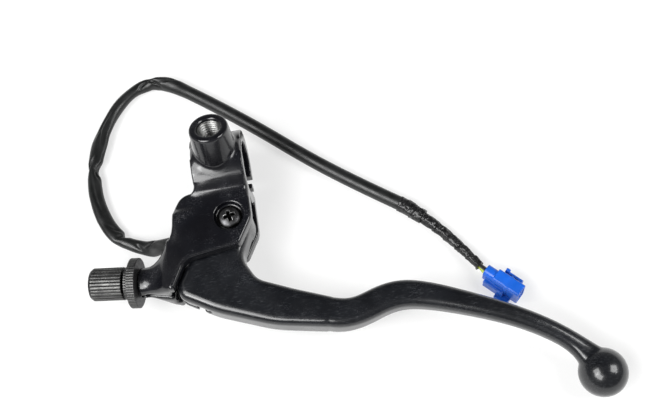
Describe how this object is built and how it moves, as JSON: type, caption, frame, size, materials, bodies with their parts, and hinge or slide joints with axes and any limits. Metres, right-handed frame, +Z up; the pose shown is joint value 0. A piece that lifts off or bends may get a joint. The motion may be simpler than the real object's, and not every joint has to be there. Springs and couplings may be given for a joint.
{
  "type": "clutch lever assembly",
  "caption": "Hand clutch lever on a one-piece bar perch with a mirror boss, cable adjuster, clutch switch and wired two-way connector.",
  "frame": {"origin": "centre of the handlebar clamp bore", "axes": "+X along the handlebar towards the lever's ball end, +Y rearwards towards the rider, +Z up, square to the plane the lever moves in"},
  "size_m": [0.2134, 0.1821, 0.0496],
  "materials": {
    "black_paint": "gloss black enamel on die-cast aluminium, with fine scuffs",
    "lever_black": "semi-gloss black enamel on die-cast aluminium",
    "zinc_steel": "zinc-plated steel",
    "black_steel": "black-plated steel, worn bright on the recess edges",
    "bush_brass": "plain",
    "dark_knurl": "black anodised aluminium, worn on the knurl's crests",
    "nylon": "natural nylon",
    "switch_plastic": "black glass-filled nylon",
    "spring_steel": "bright spring steel",
    "contact_brass": "bright",
    "black_rubber": "matt",
    "black_vinyl": "soft glossy vinyl sleeve",
    "black_tape": "wrinkled vinyl tape",
    "wire_vinyl": "yellow-green and black vinyl insulation",
    "seal_rubber": "blue silicone",
    "blue_plastic": "moulded blue nylon"
  },
  "bodies": {
    "perch": {"perch_body": "black_paint", "pinch_bolt": "zinc_steel", "pinch_washer": "zinc_steel", "pivot_bolt": "black_steel", "pivot_nut": "zinc_steel", "switch_housing": "switch_plastic", "switch_lid": "switch_plastic", "switch_contacts": "contact_brass", "switch_screw": "zinc_steel", "cable_boot": "black_rubber", "harness_sleeve": "black_vinyl", "tape_collar": "black_tape", "taped_bundle": "black_tape", "wire_leads": "wire_vinyl", "wire_seals": "seal_rubber", "connector_housing": "blue_plastic", "connector_terminals": "contact_brass", "plunger_spring": "spring_steel"},
    "lever": {"lever": "lever_black", "pivot_bush": "bush_brass"},
    "plunger": {"switch_plunger": "nylon", "contact_bridge": "contact_brass"},
    "cable_seat": {"cable_seat": "nylon"},
    "barrel": {"adjuster_barrel": "dark_knurl"},
    "lock_ring": {"lock_ring": "dark_knurl"}
  },
  "joints": [
    {"name": "lever_pivot", "type": "hinge", "parent": "perch", "child": "lever", "pos_m": [0.002, -0.0252, -0.0035], "axis": [0, 0, 1], "range_deg": [0, 24]},
    {"name": "plunger_slide", "type": "slide", "parent": "perch", "child": "plunger", "axis": [0, -1, 0], "range_m": [0, 0.0024], "deforming": ["plunger_spring"]},
    {"name": "adjuster_travel", "type": "slide", "parent": "perch", "child": "cable_seat", "axis": [-0.9914, 0.1305, 0], "range_m": [0, 0.005]},
    {"name": "adjuster_turn", "type": "hinge", "parent": "cable_seat", "child": "barrel", "pos_m": [-0.0397, -0.0434, -0.0035], "axis": [-0.9914, 0.1305, 0], "range_deg": [0, 1440]},
    {"name": "lock_ring_turn", "type": "hinge", "parent": "perch", "child": "lock_ring", "pos_m": [-0.0397, -0.0434, -0.0035], "axis": [-0.9914, 0.1305, 0], "continuous": true}
  ],
  "couplings": [
    {"joint": "plunger_slide", "follows": "lever_pivot", "m_per_rad": 0.005729},
    {"joint": "adjuster_turn", "follows": "adjuster_travel", "rad_per_m": 5026}
  ]
}
